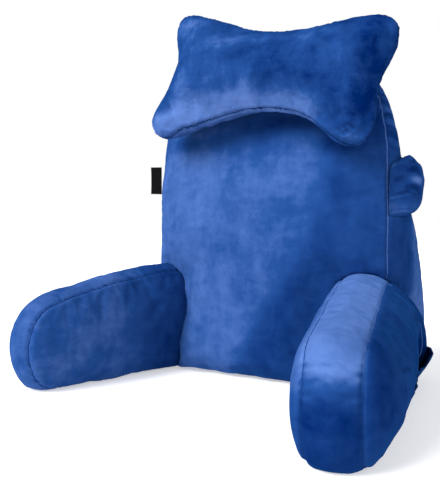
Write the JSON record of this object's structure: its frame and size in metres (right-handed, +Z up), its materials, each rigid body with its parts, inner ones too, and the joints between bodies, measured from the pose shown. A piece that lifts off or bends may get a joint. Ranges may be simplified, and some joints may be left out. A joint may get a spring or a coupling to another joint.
{
  "type": "backrest reading pillow with arms",
  "caption": "Plush support pillow with a wedge back, bolster arms at each side, a bone-shaped head pillow, a side handle and a low side pocket.",
  "frame": {"origin": "on the floor plane, at the middle of the back cushion's width, in line with its front seam", "axes": "+Z up, +X towards the sitter's left hand side of the pillow, -Y the way the sitter faces and the arms point"},
  "size_m": [0.6155, 0.5298, 0.6085],
  "materials": {
    "plush": "short plush pile with a soft sheen",
    "tape": "matt woven tape"
  },
  "bodies": {
    "root": {"back_cushion": "plush", "arm_left": "plush", "arm_right": "plush", "head_pillow": "plush", "side_handle": "plush", "side_pocket": "plush", "label_tag": "tape"}
  },
  "joints": []
}
